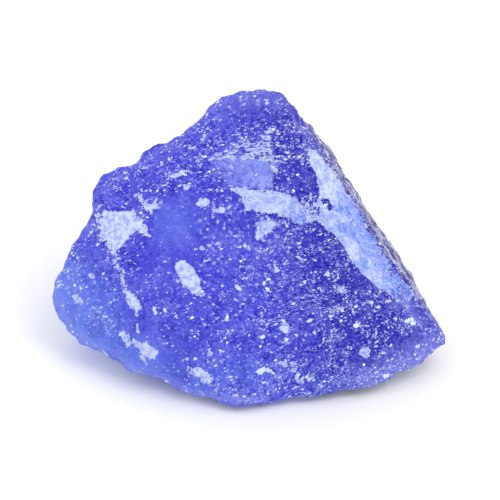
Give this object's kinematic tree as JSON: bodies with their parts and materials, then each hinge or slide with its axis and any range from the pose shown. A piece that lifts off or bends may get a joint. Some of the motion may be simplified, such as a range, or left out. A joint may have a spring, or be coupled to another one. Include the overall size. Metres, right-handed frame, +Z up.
{
  "type": "rough blue sapphire",
  "caption": "Rough, broken lump of cloudy blue corundum with frosted chips and a worn, grainy skin, resting on a small flat spot.",
  "frame": {"origin": "on the surface that the stone rests on, under the middle of its bounding box", "axes": "+Z up; +X along the stone's longest side, to the right as seen from the front; +Y to the back, away from the broad hollowed front face"},
  "size_m": [0.0306, 0.0194, 0.0171],
  "materials": {
    "sapphire": "cloudy, waxy, with frosted chips"
  },
  "bodies": {
    "root": {"rough_sapphire": "sapphire"}
  },
  "joints": []
}
